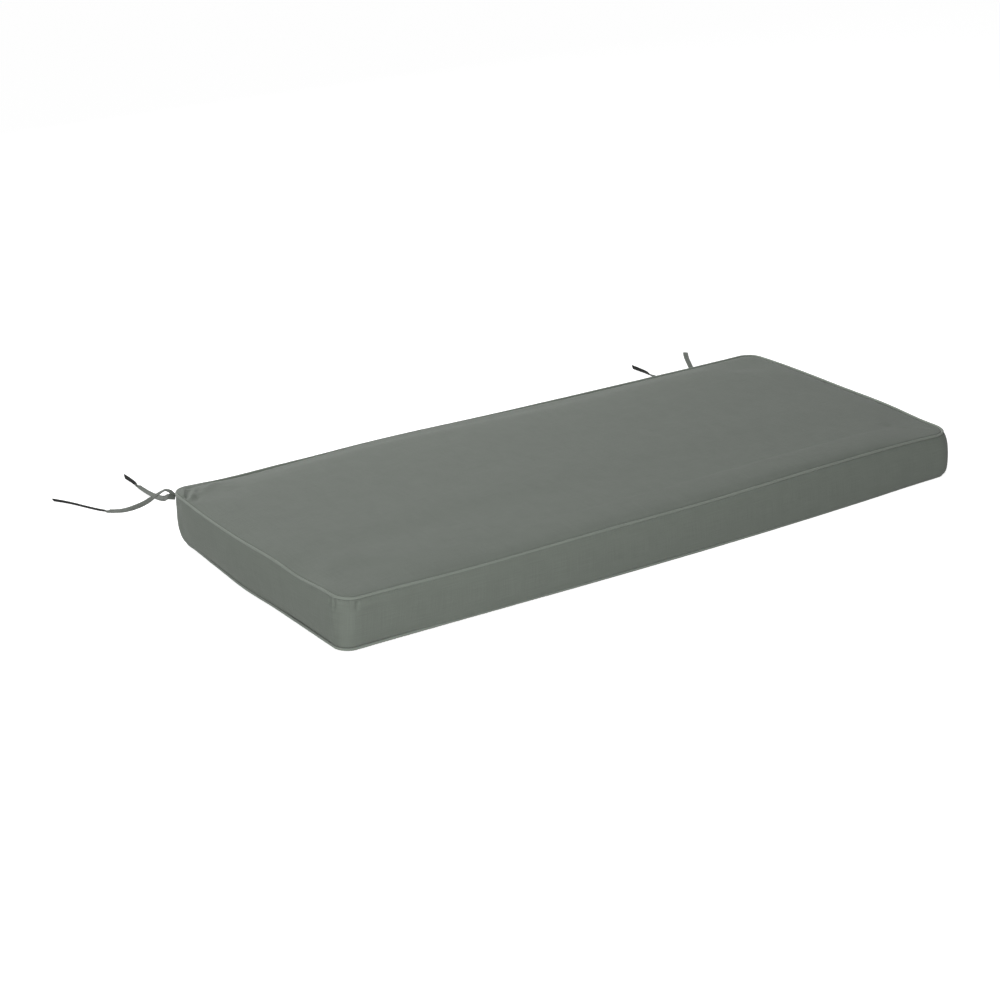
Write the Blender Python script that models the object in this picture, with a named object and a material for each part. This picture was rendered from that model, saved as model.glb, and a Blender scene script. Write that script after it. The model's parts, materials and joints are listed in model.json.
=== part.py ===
"""Boxed bench cushion: a filled cover with a welt in both seams and a pair of ties at each back corner."""

import math

import bmesh
import bpy
import numpy as np

# Driving dimensions, in metres. X runs along the bench, Y from front to back, Z up.
LENGTH = 1.220  # left to right, between the corners of the seams
DEPTH = 0.505  # front to back, between the corners of the seams
TOP_SEAM = 0.0798  # height of the centre of the top welt
BOTTOM_SEAM = 0.0038  # height of the centre of the bottom welt
WELT_RADIUS = 0.0030
SEAT_RADIUS = 0.0035  # of the crease that the welt lies in, which leaves it 0.3 mm or more
TOP_SEAT = (165, 195, 225, 262)  # degrees round the welt, from outward and up, that the cloth follows
BOTTOM_SEAT = (98, 135, 165, 195)
PANEL_PUFF = 0.0050  # how fast filling lifts the top panel behind its seam
PUFF_REACH = 0.0085
PANEL_SLOPE = 0.040  # slope of the top panel where the puff has died away
CROWN = 0.0042  # further rise to the middle of the top panel
TOP_INSETS = (0.060, 0.036, 0.022, 0.013, 0.0075)  # rings of the top panel, in from its seam
UNDERSIDE_ROLL = 0.044  # band of the bottom panel that rises to its seam
UNDERSIDE_INSETS = (0.009, 0.018, 0.030, UNDERSIDE_ROLL)
BOW_REACH = 0.080  # how far into a panel the seam's own bow is felt
TIE_WIDTH = 0.010
TIE_THICKNESS = 0.0016

# Plan radii of the four corners, walking round from the front right one.
TOP_RADII = (0.040, 0.026, 0.028, 0.028)
BOTTOM_RADII = (0.024, 0.040, 0.052, 0.020)

# How the mesh divides: steps along the long and short sides, round a corner, and round a welt.
LONG_STEPS, SHORT_STEPS, CORNER_STEPS, WELT_STEPS = 24, 8, 8, 8

FRONT, RIGHT, BACK, LEFT = 0, 1, 2, 3
# Signs of X and Y at each corner, walking round from the front right one, and the numbers of two of them.
CORNER_SIGNS = ((1, -1), (1, 1), (-1, 1), (-1, -1))
BACK_RIGHT, BACK_LEFT = 1, 2
UP = np.array([0.0, 0.0, 1.0])
MM = 0.001

# How the seams wander. Each row: side, place on it from -1 to 1 along +X or +Y,
# how far the seam bows out past the straight line, and how far it lifts. Millimetres.
TOP_SEAM_ROWS = (
    (FRONT, -0.93, 1.0, 0.2),
    (FRONT, -0.66, 3.0, -2.4),
    (FRONT, -0.20, 6.0, 0.0),
    (FRONT, 0.06, 6.2, -0.8),
    (FRONT, 0.50, 5.0, 2.4),
    (FRONT, 0.82, 2.4, 1.8),
    (RIGHT, -0.74, 4.0, -2.4),
    (RIGHT, -0.40, 7.4, -0.2),
    (RIGHT, 0.15, 8.4, -0.8),
    (RIGHT, 0.64, 4.6, 1.4),
    (BACK, 0.86, 1.6, 0.6),
    (BACK, 0.40, 5.0, -1.4),
    (BACK, 0.05, 6.2, -0.8),
    (BACK, -0.36, 6.6, 1.4),
    (BACK, -0.66, 4.0, -0.8),
    (BACK, -0.86, 1.4, -1.0),
    (BACK, -0.97, 0.8, 2.8),
    (LEFT, 0.92, 0.6, 2.8),
    (LEFT, 0.58, 3.0, 1.0),
    (LEFT, 0.15, 4.6, -0.2),
    (LEFT, -0.34, 4.2, 1.0),
    (LEFT, -0.54, 3.0, -2.4),
    (LEFT, -0.82, 1.2, 0.4),
)
BOTTOM_SEAM_ROWS = (
    (FRONT, -0.90, 2.6, 1.6),
    (FRONT, -0.60, 6.4, 1.8),
    (FRONT, -0.20, 9.4, 0.6),
    (FRONT, 0.25, 9.8, 0.0),
    (FRONT, 0.62, 6.0, 0.0),
    (FRONT, 0.90, 2.4, 1.2),
    (RIGHT, -0.70, 4.0, 1.0),
    (RIGHT, 0.00, 7.0, 0.0),
    (RIGHT, 0.75, 3.4, 1.4),
    (BACK, 0.82, 2.0, 1.6),
    (BACK, 0.35, 5.6, 0.2),
    (BACK, -0.35, 5.8, 0.0),
    (BACK, -0.82, 2.0, 2.0),
    (LEFT, 0.78, -1.0, 6.0),
    (LEFT, 0.45, 0.4, 3.4),
    (LEFT, 0.05, 4.4, 1.0),
    (LEFT, -0.30, 2.4, 1.4),
    (LEFT, -0.78, 2.0, 1.4),
)
# How far the boxing swells past its two seams. Each row: side, place, swell in millimetres.
SWELL_ROWS = (
    (FRONT, -0.94, 3.6),
    (FRONT, -0.45, 6.6),
    (FRONT, 0.40, 7.4),
    (FRONT, 0.92, 8.8),
    (RIGHT, -0.75, 9.0),
    (RIGHT, 0.10, 8.0),
    (RIGHT, 0.80, 6.0),
    (BACK, 0.50, 7.0),
    (BACK, -0.50, 6.4),
    (BACK, -0.92, 4.2),
    (LEFT, 0.75, 4.4),
    (LEFT, 0.00, 5.4),
    (LEFT, -0.80, 4.0),
)
# Levels of the boxing between its seams: share of the way down, share of the swell.
BOXING_LEVELS = ((0.12, 0.36), (0.27, 0.76), (0.45, 1.0), (0.63, 0.94), (0.80, 0.62), (0.92, 0.24))

# Routes of the ties from the seam to the free end. Each row, in millimetres and degrees:
# to the right of and behind the corner of the seam, height, and turn about its own length.
TIE_ROUTES = {
    "tie_left_a": (
        (-1.2, 1.2, 75.7, 0),
        (-4.6, 5.0, 79.2, -4),
        (-7.2, 11.0, 81.8, -12),
        (-8.6, 21.0, 79.8, -22),
        (-11.0, 36.0, 71.0, -32),
        (-15.0, 56.0, 56.2, -38),
        (-20.0, 76.0, 42.2, -38),
        (-26.0, 99.0, 29.0, -34),
        (-32.0, 122.0, 18.2, -26),
        (-37.0, 145.0, 10.2, -12),
        (-43.0, 164.0, 5.6, 12),
        (-50.6, 180.0, 4.4, 32),
        (-59.8, 199.0, 4.4, 38),
        (-69.6, 221.0, 4.4, 38),
        (-80.4, 242.0, 4.4, 38),
        (-92.0, 260.0, 4.4, 38),
    ),
    "tie_left_b": (
        (-1.9, 1.9, 73.7, 0),
        (-5.4, 6.2, 73.4, 0),
        (-6.4, 13.0, 71.6, 0),
        (-3.6, 24.0, 66.6, -2),
        (2.0, 40.0, 59.2, -4),
        (10.0, 60.0, 49.6, -4),
        (20.0, 88.0, 38.0, -4),
        (30.0, 117.0, 27.0, -4),
        (38.0, 146.0, 18.0, -4),
        (44.6, 173.0, 11.2, -2),
        (49.0, 196.0, 6.4, 0),
        (52.0, 218.0, 3.6, 4),
        (53.4, 238.0, 2.8, 16),
        (53.2, 256.0, 4.4, 42),
        (52.6, 272.0, 5.4, 60),
        (52.3, 287.0, 5.4, 66),
    ),
    "tie_right_a": (
        (2.3, 2.3, 75.7, 0),
        (5.6, 6.2, 76.4, 0),
        (6.4, 14.0, 75.2, -4),
        (0.0, 30.0, 67.4, -12),
        (-12.0, 50.0, 54.4, -20),
        (-25.0, 72.0, 40.0, -24),
        (-38.0, 95.0, 27.0, -24),
        (-50.0, 118.0, 16.6, -20),
        (-59.4, 140.0, 9.2, -12),
        (-65.4, 160.0, 4.8, -2),
        (-68.2, 180.0, 2.8, 12),
        (-69.4, 198.0, 3.8, 32),
        (-70.0, 216.0, 5.0, 50),
        (-70.6, 234.0, 5.2, 56),
        (-71.4, 254.0, 5.2, 58),
    ),
    "tie_right_b": (
        (2.9, 2.9, 73.7, 0),
        (7.0, 7.6, 73.0, 0),
        (10.0, 16.0, 69.0, 0),
        (11.0, 34.0, 57.0, 0),
        (10.6, 56.0, 43.6, 0),
        (9.8, 80.0, 30.4, 0),
        (9.2, 104.0, 19.2, 0),
        (9.6, 128.0, 10.2, 0),
        (12.0, 150.0, 4.4, 0),
        (17.0, 171.0, 1.8, 0),
        (25.6, 190.6, 1.2, 0),
        (36.0, 208.0, 1.2, 0),
        (47.4, 226.0, 1.2, 0),
        (59.0, 244.0, 1.2, 0),
        (70.0, 259.4, 1.2, 0),
        (81.0, 273.6, 1.2, 0),
    ),
}
TIE_STEPS = 36

# Linear colours of the sage grey canvas, of the welts that catch the light, and of the ties.
CANVAS = (0.165, 0.178, 0.160, 1.0)
WELT_CLOTH = (0.180, 0.194, 0.175, 1.0)
TIE_CLOTH = (0.150, 0.163, 0.146, 1.0)


def clear_scene():
    for obj in list(bpy.data.objects):
        bpy.data.objects.remove(obj)


def cloth_material(name, colour):
    material = bpy.data.materials.new(name)
    material.use_nodes = True
    shader = material.node_tree.nodes["Principled BSDF"]
    shader.inputs["Base Color"].default_value = colour
    shader.inputs["Roughness"].default_value = 0.85
    shader.inputs["Metallic"].default_value = 0.0
    material.diffuse_color = colour
    return material


def add_piece(name, points, faces, colour):
    """One sub-part from its points and faces, with all its faces turned outward."""
    build = bmesh.new()
    corners = [build.verts.new(point) for point in points]
    for face in faces:
        build.faces.new([corners[i] for i in face])
    bmesh.ops.recalc_face_normals(build, faces=build.faces)
    mesh = bpy.data.meshes.new(name)
    build.to_mesh(mesh)
    build.free()
    mesh.shade_smooth()
    mesh.materials.append(cloth_material(name + "_cloth", colour))
    piece = bpy.data.objects.new(name, mesh)
    bpy.context.scene.collection.objects.link(piece)
    return piece


def hermite(places, values, wanted):
    """A smooth curve through the values, whose ends keep the slope of their own stretch."""
    slopes = np.gradient(values, places, axis=0)
    i = np.clip(np.searchsorted(places, wanted, side="right") - 1, 0, len(places) - 2)
    span = places[i + 1] - places[i]
    t = (wanted - places[i]) / span
    if values.ndim > 1:
        t, span = t[:, None], span[:, None]
    rise = (2 * t**3 - 3 * t**2 + 1) * values[i] + (3 * t**2 - 2 * t**3) * values[i + 1]
    return rise + span * ((t**3 - 2 * t**2 + t) * slopes[i] + (t**3 - t**2) * slopes[i + 1])


def walk_place(side, place):
    """A place on a side as a walk round the cushion, one unit a side, from the front left corner."""
    along = place if side in (FRONT, RIGHT) else -place
    return side + (along + 1) / 2


def round_the_seam(rows, wanted):
    """The rows' values at each wanted place of the walk, joined smoothly round all four sides."""
    places = np.array([walk_place(side, place) for side, place, *_ in rows])
    values = np.array([measures for _, _, *measures in rows]) * MM
    places = np.concatenate([places - 4, places, places + 4])
    values = np.concatenate([values, values, values])
    return hermite(places, values, wanted)


def rim(inset, radii):
    """The outline of a panel: its points in plan, their outward directions and their places in the walk."""
    half = np.array([LENGTH / 2, DEPTH / 2]) - inset
    arcs = []
    for corner, (sign, radius) in enumerate(zip(CORNER_SIGNS, radii)):
        centre = (half - radius) * sign
        turns = np.radians(np.linspace(0, 90, CORNER_STEPS + 1) + 90 * corner - 90)
        out = np.stack([np.cos(turns), np.sin(turns)], axis=1)
        arcs.append((centre + radius * out, out))
    points, outs = [], []
    for side, steps in enumerate((LONG_STEPS, SHORT_STEPS) * 2):
        start, end = arcs[side - 1][0][-1], arcs[side][0][0]
        share = np.arange(1, steps)[:, None] / steps
        points += [start + (end - start) * share, arcs[side][0]]
        outs += [np.repeat(arcs[side][1][:1], steps - 1, axis=0), arcs[side][1]]
    points, outs = np.concatenate(points), np.concatenate(outs)
    places = np.array([walk_of(point, half) for point in points])
    # The walk starts at the middle of the front left corner.
    middle = len(points) - CORNER_STEPS // 2 - 1
    return tuple(np.roll(rows, -middle, axis=0) for rows in (points, outs, places))


def walk_of(point, half):
    """The place in the walk of a point of the outline, by the side that it is nearest to."""
    x, y = point / half
    reach = np.array([-y * half[1], x * half[0], y * half[1], -x * half[0]])
    reach -= np.array([half[1], half[0], half[1], half[0]])
    side = int(np.argmax(np.round(reach, 9)))
    return walk_place(side, x if side in (FRONT, BACK) else y)


def seam(radii, rows, height):
    """The welt's centre line round a seam, with its outward directions and its place in the walk."""
    points, outs, places = rim(0.0, radii)
    bow, lift = round_the_seam(rows, places).T
    line = np.column_stack([points + outs * bow[:, None], height + lift])
    return line, np.column_stack([outs, np.zeros(len(outs))]), places, bow, lift


def bow_felt(inset):
    """How much of the seam's bow and lift a ring at an inset from it still follows."""
    return 1 - (inset / BOW_REACH) ** 2


def panel_ring(inset, radii, bow, heights):
    """A ring of a panel at an inset from its seam."""
    points, outs, _ = rim(inset, radii)
    return np.column_stack([points + outs * (bow * bow_felt(inset))[:, None], heights])


def seat(line, out, degrees):
    """A line round a welt's crease, at an angle from outward and up about the welt's centre."""
    turn = math.radians(degrees)
    return line + SEAT_RADIUS * (math.cos(turn) * out + math.sin(turn) * UP)


def patch(ring, crown):
    """The inside of a ring of points as a grid: rows of points, with a crown that is 0 at the ring."""
    across, along = LONG_STEPS + CORNER_STEPS, SHORT_STEPS + CORNER_STEPS
    walk = np.vstack([ring, ring[:1]])
    front = walk[: across + 1]
    right = walk[across : across + along + 1]
    back = walk[across + along : 2 * across + along + 1][::-1]
    left = walk[2 * across + along :][::-1]
    u = np.linspace(0, 1, across + 1)[None, :, None]
    v = np.linspace(0, 1, along + 1)[:, None, None]
    sides = (1 - v) * front[None] + v * back[None] + (1 - u) * left[:, None] + u * right[:, None]
    corners = (1 - u) * ((1 - v) * front[0] + v * back[0]) + u * ((1 - v) * front[-1] + v * back[-1])
    grid = sides - corners
    grid[:, :, 2] += (crown * (1 - (2 * u - 1) ** 2) * (1 - (2 * v - 1) ** 2))[:, :, 0]
    return grid


def cushion_body():
    """The filled cover: top panel, boxing and bottom panel, drawn in to a crease at each seam."""
    top, out, places, top_bow, top_lift = seam(TOP_RADII, TOP_SEAM_ROWS, TOP_SEAM)
    bottom, _, _, low_bow, _ = seam(BOTTOM_RADII, BOTTOM_SEAM_ROWS, BOTTOM_SEAM)
    swell = round_the_seam(SWELL_ROWS, places)

    rings = []
    edge_height = TOP_SEAM + SEAT_RADIUS * math.sin(math.radians(TOP_SEAT[0]))
    for inset in TOP_INSETS:
        deep = inset - SEAT_RADIUS
        puff = PANEL_PUFF * (1 - math.exp(-deep / PUFF_REACH)) + PANEL_SLOPE * deep
        heights = edge_height + top_lift * bow_felt(inset) + puff
        rings.append(panel_ring(inset, TOP_RADII, top_bow, heights))
    rings += [seat(top, out, degrees) for degrees in TOP_SEAT]
    for down, share in BOXING_LEVELS:
        rings.append(top + (bottom - top) * down + out * swell * share)
    rings += [seat(bottom, out, degrees) for degrees in BOTTOM_SEAT]
    low_edge = bottom[:, 2] + SEAT_RADIUS * math.sin(math.radians(BOTTOM_SEAT[-1]))
    for inset in UNDERSIDE_INSETS:
        heights = low_edge * (1 - inset / UNDERSIDE_ROLL) ** 2
        rings.append(panel_ring(inset, BOTTOM_RADII, low_bow, heights))

    count = len(places)
    points = [tuple(point) for ring in rings for point in ring]
    faces = []
    for level in range(len(rings) - 1):
        upper, lower = level * count, (level + 1) * count
        for i in range(count):
            j = (i + 1) % count
            faces.append((upper + i, upper + j, lower + j, lower + i))
    add_patch(points, faces, patch(rings[0], CROWN), 0)
    add_patch(points, faces, patch(rings[-1], 0.0), (len(rings) - 1) * count)
    return add_piece("cushion_body", points, faces, CANVAS)


def add_patch(points, faces, grid, first):
    """Fills a ring, whose points start at number first, with the inner points of the grid."""
    rows, columns = grid.shape[0] - 1, grid.shape[1] - 1
    around = 2 * (rows + columns)
    numbers = {}
    for row in range(rows + 1):
        for column in range(columns + 1):
            if row == 0:
                walk = column
            elif column == columns:
                walk = columns + row
            elif row == rows:
                walk = 2 * columns + rows - column
            elif column == 0:
                walk = 2 * columns + 2 * rows - row
            else:
                numbers[row, column] = len(points)
                points.append(tuple(grid[row, column]))
                continue
            numbers[row, column] = first + walk % around
    for row in range(rows):
        for column in range(columns):
            square = ((row, column), (row, column + 1), (row + 1, column + 1), (row + 1, column))
            faces.append(tuple(numbers[corner] for corner in square))


def welt(name, radii, rows, height):
    """A covered cord round the whole seam, as a closed ring."""
    line, out, *_ = seam(radii, rows, height)
    turns = np.radians(np.arange(WELT_STEPS) * 360 / WELT_STEPS)
    points, faces = [], []
    for centre, side in zip(line, out):
        points += [tuple(centre + WELT_RADIUS * (math.cos(t) * side + math.sin(t) * UP)) for t in turns]
    for i in range(len(line)):
        near, far = i * WELT_STEPS, (i + 1) % len(line) * WELT_STEPS
        for k in range(WELT_STEPS):
            after = (k + 1) % WELT_STEPS
            faces.append((near + k, near + after, far + after, far + k))
    return add_piece(name, points, faces, WELT_CLOTH)


def seam_corner(corner):
    """The middle of a corner of the top seam, in plan."""
    reach = np.array([LENGTH / 2, DEPTH / 2]) - TOP_RADII[corner] * (1 - math.sqrt(0.5))
    return reach * CORNER_SIGNS[corner]


def tie(name, corner):
    """A folded strip of canvas along its route, with square free ends."""
    rows = np.array(TIE_ROUTES[name], float)
    rows[:, :3] *= MM
    rows[:, :2] += seam_corner(corner)
    steps = np.linalg.norm(np.diff(rows[:, :3], axis=0), axis=1)
    walked = np.concatenate([[0.0], np.cumsum(steps)])
    stations = hermite(walked, rows, np.linspace(0, walked[-1], TIE_STEPS + 1))
    heading = np.gradient(stations[:, :3], axis=0)
    heading /= np.linalg.norm(heading, axis=1)[:, None]
    points, faces = [], []
    for (x, y, z, turn), ahead in zip(stations, heading):
        side = np.cross(ahead, UP)
        side /= np.linalg.norm(side)
        face = np.cross(side, ahead)
        cos, sin = math.cos(math.radians(turn)), math.sin(math.radians(turn))
        width = (side * cos - face * sin) * TIE_WIDTH / 2
        thickness = (face * cos + side * sin) * TIE_THICKNESS / 2
        for across, through in ((1, 1), (-1, 1), (-1, -1), (1, -1)):
            points.append(tuple(np.array([x, y, z]) + across * width + through * thickness))
    for i in range(TIE_STEPS):
        for k in range(4):
            after = (k + 1) % 4
            faces.append((4 * i + k, 4 * i + after, 4 * i + 4 + after, 4 * i + 4 + k))
    last = 4 * TIE_STEPS
    faces += [(0, 1, 2, 3), (last, last + 1, last + 2, last + 3)]
    print(f"{name}: {walked[-1] * 1000:.0f} mm long, lowest {min(p[2] for p in points) * 1000:.2f} mm")
    return add_piece(name, points, faces, TIE_CLOTH)


clear_scene()
cushion_body()
welt("welt_top", TOP_RADII, TOP_SEAM_ROWS, TOP_SEAM)
welt("welt_bottom", BOTTOM_RADII, BOTTOM_SEAM_ROWS, BOTTOM_SEAM)
for tie_name in TIE_ROUTES:
    tie(tie_name, BACK_LEFT if "left" in tie_name else BACK_RIGHT)
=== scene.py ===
# %% [markdown]
# # A boxed bench cushion, from its frame to its finished cloth
#
# The real object is a slab of foam in a sewn canvas cover. A top panel and a bottom panel are
# joined by a strip called the boxing, a covered cord called a welt runs in both seams, and two
# canvas ties hang from each back corner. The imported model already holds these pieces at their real
# size, as plain solids. This script puts a finer piece in the place of each one.
#
# Everything is in metres: X runs along the bench, Y from front to back, and Z up.

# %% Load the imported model
import math

import bpy
import numpy as np
from mathutils import Matrix, Vector
from mathutils.kdtree import KDTree
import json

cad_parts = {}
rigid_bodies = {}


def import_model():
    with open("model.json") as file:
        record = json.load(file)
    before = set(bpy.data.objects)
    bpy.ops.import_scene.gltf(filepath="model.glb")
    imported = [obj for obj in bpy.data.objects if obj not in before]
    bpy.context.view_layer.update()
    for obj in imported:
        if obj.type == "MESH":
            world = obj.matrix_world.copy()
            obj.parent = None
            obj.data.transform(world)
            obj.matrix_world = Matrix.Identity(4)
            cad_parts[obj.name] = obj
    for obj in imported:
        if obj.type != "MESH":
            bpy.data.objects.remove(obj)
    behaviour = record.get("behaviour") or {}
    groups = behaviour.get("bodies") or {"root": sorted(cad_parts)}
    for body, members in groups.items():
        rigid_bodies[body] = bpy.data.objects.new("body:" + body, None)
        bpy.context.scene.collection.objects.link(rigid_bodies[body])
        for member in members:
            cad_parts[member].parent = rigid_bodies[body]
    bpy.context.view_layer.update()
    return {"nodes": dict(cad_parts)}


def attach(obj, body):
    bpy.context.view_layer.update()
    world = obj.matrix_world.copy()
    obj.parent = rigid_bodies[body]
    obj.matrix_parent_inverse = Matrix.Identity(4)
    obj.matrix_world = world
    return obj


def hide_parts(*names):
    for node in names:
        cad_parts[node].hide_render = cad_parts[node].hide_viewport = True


for leftover in list(bpy.data.objects):
    bpy.data.objects.remove(leftover)

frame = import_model()
print("nodes:", ", ".join(sorted(frame["nodes"])))

MM = 0.001
UP = np.array([0.0, 0.0, 1.0])

# %% [markdown]
# ## The camera
#
# A product picture fixes where the viewer stands, so the camera comes before anything else. It
# could be aimed by eye with a Track To constraint. Here its angles are known from fitting the
# cushion's corners, so the camera is set by the direction it looks back along, a slight roll, and
# how far the cushion sits from the middle of the picture. A long lens keeps the far end large.

# %% Place the camera
VIEW_AZIMUTH = -36.37  # degrees; 0 looks along +Y
VIEW_ELEVATION = 21.76
VIEW_ROLL = 0.545
VIEW_DISTANCE = 3.6153
VIEW_ASIDE = -0.1237  # the camera stands this far to its own right of the cushion's middle
VIEW_ABOVE = 0.0101
LENS_MM = 79.11
SENSOR_MM = 36.0


def from_side(azimuth, elevation, distance=1.0):
    """A place by its direction from the cushion, in degrees; 0, 0 is straight in front of it."""
    turn, rise = math.radians(azimuth), math.radians(elevation)
    level = math.cos(rise)
    return distance * Vector((math.sin(turn) * level, -math.cos(turn) * level, math.sin(rise)))


def place_camera():
    roll = math.radians(VIEW_ROLL)
    back = from_side(VIEW_AZIMUTH, VIEW_ELEVATION)
    right = Vector(UP).cross(back).normalized()
    above = back.cross(right)
    right, above = (
        right * math.cos(roll) + above * math.sin(roll),
        above * math.cos(roll) - right * math.sin(roll),
    )
    place = back * VIEW_DISTANCE + right * VIEW_ASIDE + above * VIEW_ABOVE
    data = bpy.data.cameras.new("camera")
    data.lens = LENS_MM
    data.sensor_width = SENSOR_MM
    data.clip_end = 50
    camera = bpy.data.objects.new("camera", data)
    camera.matrix_world = Matrix(
        [[right[i], above[i], back[i], place[i]] for i in range(3)] + [[0, 0, 0, 1]]
    )
    bpy.context.scene.collection.objects.link(camera)
    bpy.context.scene.camera = camera
    return camera


camera = place_camera()
print("camera at", [round(c, 3) for c in camera.matrix_world.translation])

# %% [markdown]
# ## Small tools for smooth lines
#
# A seam and a tie are both lines that bend a little here and there. A maker would mark a few places
# and let the cloth run smoothly between them, and a Hermite curve does the same: it passes through
# each marked value and takes its slope from the neighbours. One function serves every table below.

# %% A smooth curve through marked values


def hermite(places, values, wanted):
    """A smooth curve through the values, whose ends keep the slope of their own stretch."""
    slopes = np.gradient(values, places, axis=0)
    i = np.clip(np.searchsorted(places, wanted, side="right") - 1, 0, len(places) - 2)
    span = places[i + 1] - places[i]
    t = (wanted - places[i]) / span
    if values.ndim > 1:
        t, span = t[:, None], span[:, None]
    rise = (2 * t**3 - 3 * t**2 + 1) * values[i] + (3 * t**2 - 2 * t**3) * values[i + 1]
    return rise + span * ((t**3 - 2 * t**2 + t) * slopes[i] + (t**3 - t**2) * slopes[i + 1])


def walked_along(line):
    """How far along a line each of its points is."""
    return np.concatenate([[0.0], np.cumsum(np.linalg.norm(np.diff(line, axis=0), axis=1))])


def walked_round(line):
    """The same for a closed line, and at the end the whole way round."""
    return walked_along(np.vstack([line, line[:1]]))


# %% [markdown]
# ## The ties
#
# Each tie is a strip of canvas about 10 mm wide, folded and stitched, with a cut end. It is limp: it
# leaves the seam, falls along the back of the cushion and lies on whatever is below it, rolling over
# a little as it goes. It could be a curve with a flat bevel, but then its two faces could not differ,
# and here one face and the cut ends are painted near-black: painted shade of the strip's underside.
# So each tie is a mesh strip along a route of its own, with a second table for how the strip rolls
# over. The routes are the imported model's, in metres, so each tie lies where its solid does.

# %% The ties' routes
TIE_WIDTH = 0.010
TIE_THICKNESS = 0.0016
LENGTH = 1.220  # of the cushion, between the corners of its seams
DEPTH = 0.505
BACK_CORNER_RADII = {"left": 0.028, "right": 0.026}

# Each row: to the right of and behind the corner of the seam, and height, all in metres.
TIE_ROUTES = {
    "tie_left_a": (
        (-0.0012, 0.0012, 0.0757),
        (-0.0046, 0.0050, 0.0792),
        (-0.0072, 0.0110, 0.0818),
        (-0.0086, 0.0210, 0.0798),
        (-0.0110, 0.0360, 0.0710),
        (-0.0150, 0.0560, 0.0562),
        (-0.0200, 0.0760, 0.0422),
        (-0.0260, 0.0990, 0.0290),
        (-0.0320, 0.1220, 0.0182),
        (-0.0370, 0.1450, 0.0102),
        (-0.0430, 0.1640, 0.0056),
        (-0.0506, 0.1800, 0.0044),
        (-0.0598, 0.1990, 0.0044),
        (-0.0696, 0.2210, 0.0044),
        (-0.0804, 0.2420, 0.0044),
        (-0.0920, 0.2600, 0.0044),
    ),
    "tie_left_b": (
        (-0.0019, 0.0019, 0.0737),
        (-0.0054, 0.0062, 0.0734),
        (-0.0064, 0.0130, 0.0716),
        (-0.0036, 0.0240, 0.0666),
        (0.0020, 0.0400, 0.0592),
        (0.0100, 0.0600, 0.0496),
        (0.0200, 0.0880, 0.0380),
        (0.0300, 0.1170, 0.0270),
        (0.0380, 0.1460, 0.0180),
        (0.0446, 0.1730, 0.0112),
        (0.0490, 0.1960, 0.0064),
        (0.0520, 0.2180, 0.0036),
        (0.0534, 0.2380, 0.0028),
        (0.0532, 0.2560, 0.0044),
        (0.0526, 0.2720, 0.0054),
        (0.0523, 0.2870, 0.0054),
    ),
    "tie_right_a": (
        (0.0023, 0.0023, 0.0757),
        (0.0056, 0.0062, 0.0764),
        (0.0064, 0.0140, 0.0752),
        (0.0000, 0.0300, 0.0674),
        (-0.0120, 0.0500, 0.0544),
        (-0.0250, 0.0720, 0.0400),
        (-0.0380, 0.0950, 0.0270),
        (-0.0500, 0.1180, 0.0166),
        (-0.0594, 0.1400, 0.0092),
        (-0.0654, 0.1600, 0.0048),
        (-0.0682, 0.1800, 0.0028),
        (-0.0694, 0.1980, 0.0038),
        (-0.0700, 0.2160, 0.0050),
        (-0.0706, 0.2340, 0.0052),
        (-0.0714, 0.2540, 0.0052),
    ),
    "tie_right_b": (
        (0.0029, 0.0029, 0.0737),
        (0.0070, 0.0076, 0.0730),
        (0.0100, 0.0160, 0.0690),
        (0.0110, 0.0340, 0.0570),
        (0.0106, 0.0560, 0.0436),
        (0.0098, 0.0800, 0.0304),
        (0.0092, 0.1040, 0.0192),
        (0.0096, 0.1280, 0.0102),
        (0.0120, 0.1500, 0.0044),
        (0.0170, 0.1710, 0.0018),
        (0.0256, 0.1906, 0.0012),
        (0.0360, 0.2080, 0.0012),
        (0.0474, 0.2260, 0.0012),
        (0.0590, 0.2440, 0.0012),
        (0.0700, 0.2594, 0.0012),
        (0.0810, 0.2736, 0.0012),
    ),
}

# How each strip rolls over. Each row: how far along the tie in millimetres, and the turn in degrees.
TIE_TURNS = {
    "tie_left_a": (
        (0, 10), (16, 8), (30, -26), (46, -34), (60, -44), (76, -58), (104, -52), (120, -48),
        (136, -37), (150, -29), (164, -20), (184, -14), (187, -12), (191, 38), (208, 43), (298, 46),
    ),
    "tie_left_b": (
        (0, -50), (15, -58), (31, -74), (62, -78), (77, -68), (92, -58), (108, -51), (124, -43),
        (154, -30), (184, -16), (216, -5), (246, 4), (261, 10), (265, 74), (307, 77),
    ),
    "tie_right_a": (
        (0, 0), (59, -20), (117, -24), (170, -12), (215, 0),
        (229, 10), (240, 56), (258, 61), (272, 66), (286, 66),
    ),
    "tie_right_b": ((0, 0), (309, 0)),
}


def seam_corner(end):
    """The middle of the top seam's back corner at that end, in plan."""
    inward = BACK_CORNER_RADII[end] * (1 - math.sqrt(0.5))
    side = -1 if end == "left" else 1
    return np.array([side * (LENGTH / 2 - inward), DEPTH / 2 - inward])


def route_of(name, steps):
    """Evenly spaced points of a tie's route, the turn at each, and the route's length."""
    rows = np.array(TIE_ROUTES[name], float)
    rows[:, :2] += seam_corner("left" if "left" in name else "right")
    walked = walked_along(rows)
    stations = np.linspace(0, walked[-1], steps + 1)
    turns = np.array(TIE_TURNS[name], float)
    turned = np.interp(stations, turns[:, 0] * MM, np.radians(turns[:, 1]))
    return hermite(walked, rows, stations), turned, walked[-1]


for name in TIE_ROUTES:
    print(name, "is", round(route_of(name, 1)[2] / MM), "mm long")

# %% [markdown]
# ## Making a mesh from arrays
#
# Every piece below is worked out as rows of points in numpy, which is quick and exact. This helper
# turns points, faces and cloth coordinates into an object. The cloth coordinates are a UV map in
# metres: they say where each spot was on the flat piece of canvas, so that the weave runs true on
# every piece, whatever its shape.

# %% A piece from points, faces and cloth coordinates
CLOTH_MAP = "cloth"


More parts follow.
